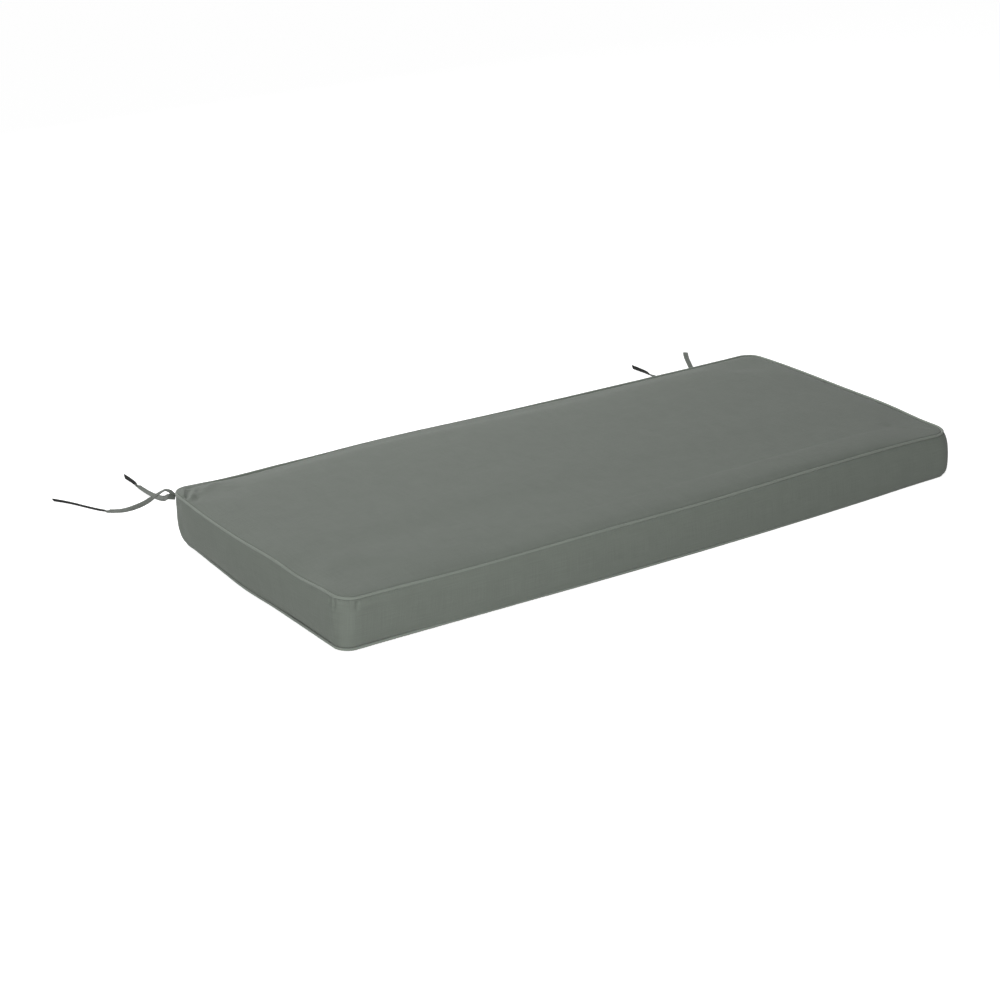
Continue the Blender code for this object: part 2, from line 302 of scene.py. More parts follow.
def make_piece(name, points, faces, cloth, materials, finish=None):
    """An object whose faces have a row of cloth coordinates for each of their corners."""
    mesh = bpy.data.meshes.new(name)
    mesh.from_pydata([tuple(p) for p in points], [], [tuple(int(i) for i in f) for f in faces])
    layer = mesh.uv_layers.new(name=CLOTH_MAP)
    layer.uv.foreach_set("vector", np.asarray(cloth, np.float32).ravel())
    for material in materials:
        mesh.materials.append(material)
    if finish is not None:
        mesh.polygons.foreach_set("material_index", np.asarray(finish, np.int32))
    mesh.shade_smooth()
    piece = bpy.data.objects.new(name, mesh)
    bpy.context.scene.collection.objects.link(piece)
    return piece


# %% [markdown]
# ## Cloth, as shader groups
#
# All the pieces are cut from one sage grey canvas, so what makes canvas look like canvas is built
# once and used in each material with its own numbers. Two groups do it.
#
# The first is the plain weave: threads pass over and under each other like a chessboard of small
# pillows. The product of two sines has exactly that board in its sign, and each pillow is stretched
# along the thread that lies on top.
#
# The second is the unevenness of the yarn: long thin streaks along both threads, and a soft mottle.
# An image could hold both, but it would tile, and it would blur close up.

# %% Helpers for shader nodes


def add_node(tree, kind, place, **settings):
    node = tree.nodes.new(kind)
    node.location = place
    for key, value in settings.items():
        setattr(node, key, value)
    return node


def set_inputs(node, **values):
    for key, value in values.items():
        node.inputs[key.replace("_", " ")].default_value = value
    return node


def math_node(tree, operation, place, *inputs):
    """A Math node whose inputs are numbers or the sockets that feed it."""
    node = add_node(tree, "ShaderNodeMath", place, operation=operation)
    for i, value in enumerate(inputs):
        if isinstance(value, bpy.types.NodeSocket):
            tree.links.new(value, node.inputs[i])
        else:
            node.inputs[i].default_value = value
    return node.outputs[0]


def new_group(name, inputs, outputs):
    """A shader node group: an input is a name, a kind and a default, and an output is a name."""
    group = bpy.data.node_groups.new(name, "ShaderNodeTree")
    for socket, kind, default in inputs:
        kind = "NodeSocket" + kind
        made = group.interface.new_socket(name=socket, in_out="INPUT", socket_type=kind)
        if default is not None:
            made.default_value = default
    for socket in outputs:
        group.interface.new_socket(name=socket, in_out="OUTPUT", socket_type="NodeSocketFloat")
    start = add_node(group, "NodeGroupInput", (-1400, 0))
    end = add_node(group, "NodeGroupOutput", (1200, 0))
    return group, start, end


# %% The plain weave
THREAD_PITCH = 0.0007
THREAD_ROUNDNESS = 0.85  # a lower power makes the top of a thread flatter
THREAD_STRETCH = 0.3  # and the same along the thread


def weave_group():
    """The height of a plain weave, from 0 to 1."""
    group, start, end = new_group(
        "plain_weave",
        [
            ("Cloth", "Vector", None),
            ("Thread Pitch", "Float", THREAD_PITCH),
            ("Bias Angle", "Float", 0.0),
        ],
        ["Height"],
    )
    turned = add_node(group, "ShaderNodeVectorRotate", (-1200, 0), rotation_type="Z_AXIS")
    group.links.new(start.outputs["Cloth"], turned.inputs["Vector"])
    group.links.new(start.outputs["Bias Angle"], turned.inputs["Angle"])
    apart = add_node(group, "ShaderNodeSeparateXYZ", (-1000, 0))
    group.links.new(turned.outputs[0], apart.inputs[0])
    waves = []
    pitch = start.outputs["Thread Pitch"]
    for i in range(2):
        threads = math_node(group, "DIVIDE", (-800, -200 * i), apart.outputs[i], pitch)
        half_turns = math_node(group, "MULTIPLY", (-600, -200 * i), threads, math.pi)
        waves.append(math_node(group, "SINE", (-400, -200 * i), half_turns))
    board = math_node(group, "MULTIPLY", (-200, -400), *waves)
    warp_on_top = math_node(group, "GREATER_THAN", (0, -400), board, 0.0)
    sizes = [math_node(group, "ABSOLUTE", (-200, -150 * i), wave) for i, wave in enumerate(waves)]
    pillows = []
    for i in range(2):
        round_over = math_node(group, "POWER", (0, -150 * i), sizes[i], THREAD_ROUNDNESS)
        long_way = math_node(group, "POWER", (0, -150 * i - 75), sizes[1 - i], THREAD_STRETCH)
        pillows.append(math_node(group, "MULTIPLY", (200, -150 * i), round_over, long_way))
    height = add_node(group, "ShaderNodeMix", (400, 0), data_type="FLOAT")
    group.links.new(warp_on_top, height.inputs["Factor"])
    group.links.new(pillows[1], height.inputs["A"])
    group.links.new(pillows[0], height.inputs["B"])
    group.links.new(height.outputs["Result"], end.inputs["Height"])
    return group


# %% The unevenness of the yarn
STREAKS_ACROSS = 900.0  # streaks in each metre across the threads


def yarn_group():
    """Streaks of thicker yarn along both threads, and a soft mottle, each about 0."""
    group, start, end = new_group(
        "uneven_yarn",
        [
            ("Cloth", "Vector", None),
            ("Streak Length", "Float", 0.05),
            ("Mottle Size", "Float", 0.03),
        ],
        ["Streaks", "Mottle"],
    )
    per_length = math_node(group, "DIVIDE", (-1200, -300), 1.0, start.outputs["Streak Length"])
    streaks = []
    for i in range(2):
        stretch = add_node(group, "ShaderNodeCombineXYZ", (-1000, -300 * i))
        group.links.new(per_length, stretch.inputs[i])
        stretch.inputs[1 - i].default_value = STREAKS_ACROSS
        scaled = add_node(group, "ShaderNodeVectorMath", (-800, -300 * i), operation="MULTIPLY")
        group.links.new(start.outputs["Cloth"], scaled.inputs[0])
        group.links.new(stretch.outputs[0], scaled.inputs[1])
        noise = add_node(group, "ShaderNodeTexNoise", (-600, -300 * i), noise_dimensions="2D")
        set_inputs(noise, Scale=1.0, Detail=1.0, Roughness=0.5)
        group.links.new(scaled.outputs[0], noise.inputs["Vector"])
        streaks.append(math_node(group, "SUBTRACT", (-400, -300 * i), noise.outputs["Fac"], 0.5))
    both = math_node(group, "ADD", (-200, -150), *streaks)
    group.links.new(both, end.inputs["Streaks"])
    per_mottle = math_node(group, "DIVIDE", (-800, -700), 1.0, start.outputs["Mottle Size"])
    mottle = add_node(group, "ShaderNodeTexNoise", (-600, -700), noise_dimensions="2D")
    set_inputs(mottle, Detail=3.0, Roughness=0.55)
    group.links.new(start.outputs["Cloth"], mottle.inputs["Vector"])
    group.links.new(per_mottle, mottle.inputs["Scale"])
    even = math_node(group, "SUBTRACT", (-400, -700), mottle.outputs["Fac"], 0.5)
    group.links.new(even, end.inputs["Mottle"])
    return group


WEAVE = weave_group()
YARN = yarn_group()
print("shader groups:", WEAVE.name, "and", YARN.name)

# %% [markdown]
# ## The canvas materials
#
# Canvas is matt, with a faint sheen of loose fibres that lightens the rolled edges, so roughness is
# high and the sheen is low. Each material places both groups, tints the colour by streak and mottle,
# paints shade between the threads and a highlight on their tops, and lifts the threads with a Bump
# node. Only the numbers differ: the welts are cut on the bias, at 45 degrees, and painted lighter as
# a highlight, and one face of the ties is nearly black, as painted shade.

# %% Mix the canvas materials
# The weave's hollows are painted darker and the tops of its threads lighter: painted shade and
# painted highlight of the weave's relief.
PAINTED_SHADE_BETWEEN_THREADS = 0.90  # between the threads, as a share of the canvas's colour
THREAD_TOP_PAINTED_HIGHLIGHT = 0.16  # how much brighter the top of a thread is
STREAK_SHADE = 0.16
MOTTLE_SHADE = 0.10
ROUGHNESS = 0.94  # between the threads
THREAD_POLISH = -0.08  # what the top of a thread adds to the roughness
STREAK_HEIGHT = 0.6  # of a thick yarn, as a share of a thread's height


def canvas(
    name, colour, bias=0.0, thread_height=0.12, pitch=THREAD_PITCH, contrast=1.0, sheen=0.12
):
    """A canvas of that colour: bias is the weave's angle in degrees, and heights are in mm."""
    material = bpy.data.materials.new(name)
    material.use_nodes = True
    tree = material.node_tree
    shader = tree.nodes["Principled BSDF"]
    shader.location = (600, 0)
    place = add_node(tree, "ShaderNodeUVMap", (-1400, 0), uv_map=CLOTH_MAP)
    weave = add_node(tree, "ShaderNodeGroup", (-1100, 100), node_tree=WEAVE)
    set_inputs(weave, Thread_Pitch=pitch, Bias_Angle=math.radians(bias))
    yarn = add_node(tree, "ShaderNodeGroup", (-1100, -200), node_tree=YARN)
    for group in (weave, yarn):
        tree.links.new(place.outputs[0], group.inputs["Cloth"])

    # Brightness: about 1, darker between the threads and lighter on their tops as painted shade and
    # painted highlight, with a little more or less by streak and mottle.
    threads, streaks = weave.outputs["Height"], yarn.outputs["Streaks"]
    thread = math_node(
        tree, "MULTIPLY_ADD", (-800, 200), threads, THREAD_TOP_PAINTED_HIGHLIGHT * contrast, PAINTED_SHADE_BETWEEN_THREADS
    )
    streak = math_node(tree, "MULTIPLY", (-800, 0), streaks, STREAK_SHADE * contrast)
    mottle = math_node(
        tree, "MULTIPLY", (-800, -200), yarn.outputs["Mottle"], MOTTLE_SHADE * contrast
    )
    uneven = math_node(tree, "ADD", (-600, 0), streak, mottle)
    light = math_node(tree, "ADD", (-400, 100), thread, uneven)
    tinted = add_node(tree, "ShaderNodeVectorMath", (-100, 100), operation="SCALE")
    tinted.inputs[0].default_value = colour
    tree.links.new(light, tinted.inputs["Scale"])
    tree.links.new(tinted.outputs[0], shader.inputs["Base Color"])

    rough = math_node(tree, "MULTIPLY_ADD", (-400, -150), threads, THREAD_POLISH, ROUGHNESS)
    tree.links.new(rough, shader.inputs["Roughness"])
    height = math_node(tree, "MULTIPLY_ADD", (-400, -350), streaks, STREAK_HEIGHT, threads)
    bump = add_node(tree, "ShaderNodeBump", (100, -300))
    set_inputs(bump, Strength=0.5, Distance=thread_height * MM)
    tree.links.new(height, bump.inputs["Height"])
    tree.links.new(bump.outputs[0], shader.inputs["Normal"])
    set_inputs(shader, Sheen_Weight=sheen, Sheen_Roughness=0.5, Specular_IOR_Level=0.25)
    material.diffuse_color = (*colour, 1.0)
    return material


cover_canvas = canvas("sage_canvas", (0.1605, 0.181, 0.1565))
# The welts are the same canvas, painted lighter: a painted highlight along their lit ridges.
welt_canvas_painted_highlight = canvas("sage_canvas_bias_painted_highlight", (0.214, 0.242, 0.209), bias=45.0, sheen=0.25)
tie_canvas = canvas("sage_canvas_tie", (0.123, 0.138, 0.120))
# One face of each tie and its cut ends are painted near-black: painted shade of the strip's underside
# where it rolls over.
tie_painted_shade_face = canvas("tie_underside_painted_shade", (0.012, 0.013, 0.013), contrast=2.0, sheen=0.05)
tie_thread = canvas("sage_thread", (0.190, 0.203, 0.184), pitch=0.0003, thread_height=0.05)
print("materials:", len(bpy.data.materials))

# %% [markdown]
# ## Fold and stitch the ties
#
# A real tie is a band of canvas folded in on itself and closed with a row of stitches along one
# edge. The cross-section is a thin lozenge with rounded folded edges, a little fuller in the middle,
# and it has a fine groove along the open edge, where the folds meet. The section is swept along the
# route and turned with it. The stitches are short solid lengths of thread that sit in the cloth.

# %% Build the ties
TIE_STEPS = 120
STITCH_LENGTH = 0.0024
STITCH_GAP = 0.0008
STITCH_INSET = 0.0014  # of the stitch row from the strip's open edge
STITCH_LEVEL = 0.72  # of the stitch row, as a share of the half thickness
STITCHES_START = 0.006  # from the sewn end, and then from the free one
STITCHES_STOP = 0.004
THREAD_RADIUS = 0.00022

# Half of the tie's section, edge to edge: share of the half width, share of the half thickness.
TIE_SECTION = (
    (1.00, 0.00),
    (0.985, 0.46),
    (0.93, 0.80),
    (0.80, 0.86),
    (0.72, 0.70),
    (0.64, 0.90),
    (0.35, 1.00),
    (0.00, 1.00),
    (-0.40, 1.00),
    (-0.75, 0.94),
    (-0.93, 0.80),
    (-0.985, 0.46),
)


def tie_axes(line, turns):
    """At each station of the route: the way across the strip, and out of its face."""
    ahead = np.gradient(line, axis=0)
    ahead /= np.linalg.norm(ahead, axis=1)[:, None]
    side = np.cross(ahead, UP)
    side /= np.linalg.norm(side, axis=1)[:, None]
    face = np.cross(side, ahead)
    cos, sin = np.cos(turns)[:, None], np.sin(turns)[:, None]
    return side * cos - face * sin, face * cos + side * sin


def part_way(rows, length, at):
    """The value at a length along a tie, from the values at its even stations."""
    stations = np.linspace(0, length, len(rows))
    return np.array([np.interp(at, stations, row) for row in rows.T])


def stitch(points, faces, cloth, start, end, out):
    """One stitch of thread between two points, as a flattened capsule of six sides."""
    ahead = (end - start) / np.linalg.norm(end - start)
    across = np.cross(out, ahead)
    # Each ring: share of the length, share of the thread's radius, and lift in radii.
    rings = (
        (0.0, 0.25, -0.6), (0.12, 0.9, 0.0), (0.5, 1.0, 0.35), (0.88, 0.9, 0.0), (1.0, 0.25, -0.6)
    )
    first = len(points)
    for along, size, lift in rings:
        middle = start + (end - start) * along + out * lift * THREAD_RADIUS
        for k in range(6):
            angle = math.tau * k / 6
            spread = math.cos(angle) * across + math.sin(angle) * out
            points.append(middle + spread * THREAD_RADIUS * size)
    last = len(points) - 6
    quads = [
        (ring + k, ring + (k + 1) % 6, ring + 6 + (k + 1) % 6, ring + 6 + k)
        for ring in range(first, last, 6)
        for k in range(6)
    ]
    quads += [tuple(range(first + 5, first - 1, -1)), tuple(range(last, last + 6))]
    faces += quads
    for quad in quads:
        cloth += [(0.001 * (i % 6), 0.0005 * (i // 6 % 5)) for i in quad]
    return len(quads)


def make_tie(name):
    line, turns, length = route_of(name, TIE_STEPS)
    across, out = tie_axes(line, turns)
    section = np.vstack([TIE_SECTION, -np.array(TIE_SECTION)])
    flat_section = section * (TIE_WIDTH / 2, TIE_THICKNESS / 2)
    count = len(section)
    width = walked_round(flat_section)
    points, faces, cloth, finish = [], [], [], []
    for centre, wide, thick in zip(line, across, out):
        for w, t in section:
            points.append(centre + wide * w * TIE_WIDTH / 2 + thick * t * TIE_THICKNESS / 2)
    step = length / TIE_STEPS
    for i in range(TIE_STEPS):
        near, far = i * count, (i + 1) * count
        for k in range(count):
            after = (k + 1) % count
            faces.append((near + k, near + after, far + after, far + k))
            cloth += [(width[k], i * step), (width[k + 1], i * step)]
            cloth += [(width[k + 1], i * step + step), (width[k], i * step + step)]
            # One side of the strip, and below it the cut ends, take the near-black painted shade.
            finish.append(0 if k < count // 2 else 1)
    last = TIE_STEPS * count
    faces += [tuple(range(count - 1, -1, -1)), tuple(range(last, last + count))]
    for end in faces[-2:]:
        cloth += [tuple(flat_section[i % count]) for i in end]
    finish += [1, 1]

    # The stitch row: thread on the face, near the open edge, from one end to the other.
    open_edge = TIE_WIDTH / 2 - STITCH_INSET
    row = line + across * open_edge + out * (TIE_THICKNESS / 2 * STITCH_LEVEL)
    at = STITCHES_START
    while at + STITCH_LENGTH < length - STITCHES_STOP:
        ends = [part_way(row, length, s) for s in (at, at + STITCH_LENGTH)]
        normal = part_way(out, length, at + STITCH_LENGTH / 2)
        made = stitch(points, faces, cloth, *ends, normal / np.linalg.norm(normal))
        finish += [2] * made
        at += STITCH_LENGTH + STITCH_GAP
    finishes = [tie_canvas, tie_painted_shade_face, tie_thread]
    piece = make_piece(name + "_cloth", points, faces, cloth, finishes, finish)
    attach(piece, "root")
    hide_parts(name)
    print(piece.name, "has", len(faces), "faces")


for name in TIE_ROUTES:
    make_tie(name)

# %% [markdown]
# ## The seams
#
# The two seams give the cushion its outline: a rectangle with rounded corners, whose sides bow out
# where the foam pushes and wander up and down where the cloth was eased in. They are set out the way
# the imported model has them, as a few marked places on each side.

# %% Set out the seams
TOP_SEAM = 0.0798  # height of the centre of the top welt
BOTTOM_SEAM = 0.0038
TOP_RADII = (0.040, BACK_CORNER_RADII["right"], BACK_CORNER_RADII["left"], 0.028)
BOTTOM_RADII = (0.024, 0.040, 0.052, 0.020)  # from the front right corner round to the front left
CORNER_SIGNS = ((1, -1), (1, 1), (-1, 1), (-1, -1))
FRONT, RIGHT, BACK, LEFT = 0, 1, 2, 3

# Each row: side, place on it from -1 to 1 along +X or +Y, then how far the seam bows out and how
# far it lifts, in millimetres.
TOP_SEAM_ROWS = (
    (FRONT, -0.93, 1.0, 0.2),
    (FRONT, -0.66, 3.0, -2.4),
    (FRONT, -0.20, 6.0, 0.0),
    (FRONT, 0.06, 6.2, -0.8),
    (FRONT, 0.50, 5.0, 2.4),
    (FRONT, 0.82, 2.4, 1.8),
    (RIGHT, -0.74, 4.0, -2.4),
    (RIGHT, -0.40, 7.4, -0.2),
    (RIGHT, 0.15, 8.4, -0.8),
    (RIGHT, 0.64, 4.6, 1.4),
    (BACK, 0.86, 1.6, 0.6),
    (BACK, 0.40, 5.0, -1.4),
    (BACK, 0.05, 6.2, -0.8),
    (BACK, -0.36, 6.6, 1.4),
    (BACK, -0.66, 4.0, -0.8),
    (BACK, -0.86, 1.4, -1.0),
    (BACK, -0.97, 0.8, 2.8),
    (LEFT, 0.92, 0.6, 2.8),
    (LEFT, 0.58, 3.0, 1.0),
    (LEFT, 0.15, 4.6, -0.2),
    (LEFT, -0.34, 4.2, 1.0),
    (LEFT, -0.54, 3.0, -2.4),
    (LEFT, -0.82, 1.2, 0.4),
)
BOTTOM_SEAM_ROWS = (
    (FRONT, -0.90, 2.6, 1.6),
    (FRONT, -0.60, 6.4, 1.8),
    (FRONT, -0.20, 9.4, 0.6),
    (FRONT, 0.25, 9.8, 0.0),
    (FRONT, 0.62, 6.0, 0.0),
    (FRONT, 0.90, 2.4, 1.2),
    (RIGHT, -0.70, 4.0, 1.0),
    (RIGHT, 0.00, 7.0, 0.0),
    (RIGHT, 0.75, 3.4, 1.4),
    (BACK, 0.82, 2.0, 1.6),
    (BACK, 0.35, 5.6, 0.2),
    (BACK, -0.35, 5.8, 0.0),
    (BACK, -0.82, 2.0, 2.0),
    (LEFT, 0.78, -1.0, 6.0),
    (LEFT, 0.45, 0.4, 3.4),
    (LEFT, 0.05, 4.4, 1.0),
    (LEFT, -0.30, 2.4, 1.4),
    (LEFT, -0.78, 2.0, 1.4),
)

# %% [markdown]
# The weight of the filling rolls the boxing down over the bottom seam, so that only a thin line of
# its welt shows, and none at the far corners. A solid model has no need of that, but a cover does.
# One more table for each seam says how far it is tucked in and how far it drops. Most values of the
# top one are below zero, because the filling pushes that seam a little out and up.

# %% Set out the tuck
# Each row: side, place, how far the seam is tucked in and how far it drops, in millimetres.
TOP_TUCK_ROWS = (
    (FRONT, 0.00, -0.3, -0.4),
    (FRONT, 0.55, -0.3, -1.0),
    (FRONT, 0.76, -0.3, -1.0),
    (FRONT, 0.93, -0.3, 0.2),
    (RIGHT, -1.00, -0.4, 0.8),
    (RIGHT, -0.80, -0.3, 0.2),
    (RIGHT, -0.20, -0.3, -1.0),
    (RIGHT, 0.50, -0.3, -2.2),
    (RIGHT, 0.90, -0.3, -1.4),
    (BACK, 0.92, -0.3, -0.6),
    (BACK, 0.50, -0.3, -1.0),
    (BACK, 0.00, -0.3, -0.7),
    (BACK, -0.50, -0.3, -0.8),
    (BACK, -0.90, -0.3, -0.8),
    (LEFT, 1.00, 1.4, -0.2),
    (LEFT, 0.84, -0.1, -0.4),
    (LEFT, -0.80, -0.3, -0.4),
)
BOTTOM_TUCK_ROWS = (
    (FRONT, -0.90, -0.6, 1.4),
    (FRONT, -0.40, -1.0, 1.6),
    (FRONT, 0.40, -0.6, 1.6),
    (FRONT, 0.90, 1.2, 1.9),
    (RIGHT, -0.80, 2.6, 1.8),
    (RIGHT, 0.00, 2.0, 1.2),
    (RIGHT, 0.80, 1.0, 1.2),
    (BACK, 0.50, 0.5, 1.2),
    (BACK, -0.50, 0.5, 1.2),
    (BACK, -0.90, 3.0, 2.0),
    (LEFT, 0.88, 5.0, 3.6),
    (LEFT, 0.50, 0.8, 1.0),
    (LEFT, 0.00, -0.9, -0.4),
    (LEFT, -0.80, -1.2, 0.8),
)

# %% Walk round a seam


def walk_place(side, place):
    """A place on a side as a walk round the cushion, one unit a side, from the front left corner."""
    along = place if side in (FRONT, RIGHT) else -place
    return side + (along + 1) / 2


def round_the_seam(rows, wanted):
    """The rows' values at each wanted place of the walk, joined smoothly round all four sides."""
    places = np.array([walk_place(side, place) for side, place, *_ in rows])
    values = np.array([measures for _, _, *measures in rows]) * MM
    places = np.concatenate([places - 4, places, places + 4])
    return hermite(places, np.concatenate([values] * 3), wanted)


def graded(steps, closing=0.7):
    """Shares from 0 to 1 that lie closer together towards both ends, where the cloth bends most."""
    t = np.arange(steps + 1) / steps
    return t + closing * ((1 - np.cos(math.pi * t)) / 2 - t)


def rim(inset, radii, steps):
    """An outline at an inset from the seam: points in plan, outward directions and walk places."""
    long_steps, short_steps, corner_steps = steps
    half = np.array([LENGTH / 2, DEPTH / 2]) - inset
    arcs = []
    for corner, (sign, radius) in enumerate(zip(CORNER_SIGNS, radii)):
        turns = np.radians(np.linspace(0, 90, corner_steps + 1) + 90 * corner - 90)
        out = np.stack([np.cos(turns), np.sin(turns)], axis=1)
        arcs.append(((half - radius) * sign + radius * out, out))
    points, outs = [], []
    for side in range(4):
        share = graded(long_steps if side % 2 == 0 else short_steps)[1:-1, None]
        start, end = arcs[side - 1][0][-1], arcs[side][0][0]
        points += [start + (end - start) * share, arcs[side][0]]
        outs += [np.repeat(arcs[side][1][:1], len(share), axis=0), arcs[side][1]]
    points, outs = np.concatenate(points), np.concatenate(outs)
    # A point belongs to the side that it is nearest to.
    x, y = (points / half).T
    reach = np.stack([-y - 1, x - 1, y - 1, -x - 1]) * np.array([half[1], half[0]] * 2)[:, None]
    side = np.argmax(np.round(reach, 9), axis=0)
    along = np.stack([x, y, -x, -y])[side, np.arange(len(side))]
    places = side + (along + 1) / 2
    middle = len(points) - corner_steps // 2 - 1
    return tuple(np.roll(rows, -middle, axis=0) for rows in (points, outs, places))


def seam(radii, rows, height, steps, sunk=None):
    """A welt's centre line, with its outward directions, walk places, bow and lift."""
    points, outs, places = rim(0.0, radii, steps)
    bow, lift = round_the_seam(rows, places).T
    if sunk is not None:
        tuck, drop = round_the_seam(sunk, places).T
        bow, lift = bow - tuck, lift - drop
    line = np.column_stack([points + outs * bow[:, None], height + lift])
    return line, np.column_stack([outs, np.zeros(len(outs))]), places, bow, lift


FINE_STEPS = (290, 110, 20)  # on a long side, a short side and a corner
TOP_LINE = (TOP_RADII, TOP_SEAM_ROWS, TOP_SEAM)
BOTTOM_LINE = (BOTTOM_RADII, BOTTOM_SEAM_ROWS, BOTTOM_SEAM)
for label, measures, sunk in (
    ("top", TOP_LINE, TOP_TUCK_ROWS),
    ("bottom", BOTTOM_LINE, BOTTOM_TUCK_ROWS),
):
    line = seam(*measures, FINE_STEPS, sunk)[0]
    print(label, "seam is", round(walked_round(line)[-1], 3), "m round")

# %% [markdown]
# ## Roll the welts
#
# A welt is a cord wrapped in a strip of the same canvas, cut on the bias so that it bends round the
# corners without puckering. It is sewn between the panels and stands out of the seam. A curve with a
# round bevel would do for the shape. A swept ring of points is used instead, because its cloth
# coordinates can then turn the weave by 45 degrees, and because a real welt is never quite even: it
# swells and thins a little as the wrapping pulls.

# %% Build the welts
WELT_RADIUS = 0.0021
WELT_SIDES = 14
WELT_UNEVEN = 0.00010
# How the thickness varies along a welt. Each row: length of a wave, and its share of the above.
WELT_WAVES = ((0.011, 0.35), (0.023, 0.45), (0.041, 0.4), (0.13, 0.5))


def make_welt(name, measures, sunk, seed):
    line, out, *_ = seam(*measures, FINE_STEPS, sunk)
    walked = walked_round(line)
    rng = np.random.default_rng(seed)
    swell = 0
    for pitch, size in WELT_WAVES:
        turns, phase = round(walked[-1] / pitch), rng.uniform(0, math.tau)
        swell = swell + size * np.sin(math.tau * turns * walked[:-1] / walked[-1] + phase)
    radius = WELT_RADIUS + WELT_UNEVEN * swell
    angles = np.arange(WELT_SIDES) * math.tau / WELT_SIDES
    points = [
        centre + r * (math.cos(a) * side + math.sin(a) * UP)
        for centre, side, r in zip(line, out, radius)
        for a in angles
    ]
    faces, cloth = [], []
    girth = math.tau * WELT_RADIUS / WELT_SIDES
    for i in range(len(line)):
        near, far = i * WELT_SIDES, (i + 1) % len(line) * WELT_SIDES
        for k in range(WELT_SIDES):
            after = (k + 1) % WELT_SIDES
            faces.append((near + k, far + k, far + after, near + after))
            cloth += [(walked[i], k * girth), (walked[i + 1], k * girth)]
            cloth += [(walked[i + 1], (k + 1) * girth), (walked[i], (k + 1) * girth)]
    # The welt's lighter canvas is a painted highlight.
    piece = make_piece(name + "_cord", points, faces, cloth, [welt_canvas_painted_highlight])
    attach(piece, "root")
    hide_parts(name)
    print(piece.name, "has", len(faces), "faces")


make_welt("welt_top", TOP_LINE, TOP_TUCK_ROWS, 3)
make_welt("welt_bottom", BOTTOM_LINE, BOTTOM_TUCK_ROWS, 5)

# %% [markdown]
# ## Cut the cover
#
# The cover is one closed skin: the top panel, the boxing and the bottom panel. It is laid out as
# rings that follow the seams, from the top panel over the crease under the top welt, down the boxing,
# over the bottom crease and under to where the cushion rests flat. The middles of both panels are
# filled with a grid that is stretched between the sides of the innermost ring, a Coons patch.
#
# One number, the fullness, scales the swell of the boxing and the crown of the top. The cover is
# first cut a little slack and flat, and the stuffing then blows it out to its fitted shape.

# %% The cover's measures
SEAT_RADIUS = 0.0024  # of the crease that a welt lies in
PANEL_SLOPE = 0.040  # of the top panel towards its middle, near its edge
CROWN = 0.0042  # of the top panel's middle above its innermost ring
UNDERSIDE_ROLL = 0.044  # how far in from the seam the bottom panel comes to rest
BOW_REACH = 0.080  # how far in from the seam its bow and lift are felt
ROLL_FADES = 0.8  # how far down the boxing its roll over the bottom seam begins to fade
# How far in from the seam each ring of the top panel lies, and then of the bottom one.
TOP_INSETS = (0.060, 0.048, 0.038, 0.030, 0.0236, 0.0185, 0.0145, 0.0112, 0.0086, 0.0064, 0.0046)
UNDERSIDE_INSETS = (0.0065, 0.011, 0.018, 0.026, 0.035, UNDERSIDE_ROLL)
# Where the cloth leaves a welt, in degrees round it from outward and up. Each row: side, place, the
# panel's angle and the boxing's. Near 90 and 270 the cloth comes up flush with the welt.
TOP_CREASE_ROWS = (
    (FRONT, -0.985, 98, 292),
    (FRONT, -0.91, 98, 298),
    (FRONT, -0.83, 98, 336),
    (FRONT, 0.00, 98, 340),
    (FRONT, 0.50, 104, 322),
    (FRONT, 0.88, 108, 312),
    (RIGHT, -0.85, 198, 318),
    (RIGHT, 0.60, 204, 318),
    (BACK, 0.80, 184, 318),
    (BACK, -0.86, 178, 318),
    (BACK, -0.97, 100, 330),
    (LEFT, 0.95, 84, 380),
    (LEFT, 0.70, 80, 384),
    (LEFT, 0.20, 80, 380),
    (LEFT, -0.50, 84, 368),
    (LEFT, -0.86, 88, 350),
)
# The same for the bottom seam: the boxing's angle, and the bottom panel's.
BOTTOM_CREASE_ROWS = (
    (FRONT, -0.90, 92, 205),
    (FRONT, -0.66, 20, 205),
    (FRONT, -0.40, 30, 205),
    (FRONT, -0.10, 56, 205),
    (FRONT, 0.15, 56, 205),
    (FRONT, 0.45, 20, 205),
    (FRONT, 0.90, 10, 205),
    (RIGHT, 0.00, 10, 205),
    (BACK, 0.00, 60, 205),
    (LEFT, 0.94, 30, 205),
    (LEFT, 0.62, 112, 205),
    (LEFT, -0.80, 114, 205),
)
# How the panel puffs up from its welt. Each row: side, place, how high and how soon, in millimetres.
PUFF_ROWS = (
    (FRONT, -0.80, 5.4, 8.5),
    (FRONT, 0.80, 4.4, 7.5),
    (RIGHT, -0.70, 2.4, 7.0),
    (RIGHT, 0.70, 2.6, 7.0),
    (BACK, 0.80, 5.6, 9.0),
    (BACK, -0.80, 5.8, 10.0),
    (LEFT, 0.80, 5.0, 11.0),
    (LEFT, -0.80, 5.0, 11.0),
)
CREASE_RINGS = 5
# How far down each ring of the boxing lies, from 0 at the top seam to 1 at the bottom one.
BOXING_SHARES = (0.05, 0.10, 0.16, 0.23, 0.31, 0.40, 0.49, 0.58, 0.67, 0.76, 0.84, 0.905, 0.955)
# How much of the swell shows at each level of the boxing. Each row: how far down, and the share.
BOXING_PROFILE = np.array([
    (0.00, 0.22), (0.06, 0.42), (0.12, 0.61), (0.20, 0.79), (0.30, 0.92), (0.42, 0.99),
    (0.55, 1.00), (0.68, 0.95), (0.78, 0.87), (0.86, 0.77), (0.92, 0.64), (0.96, 0.50),
    (1.00, 0.28),
])
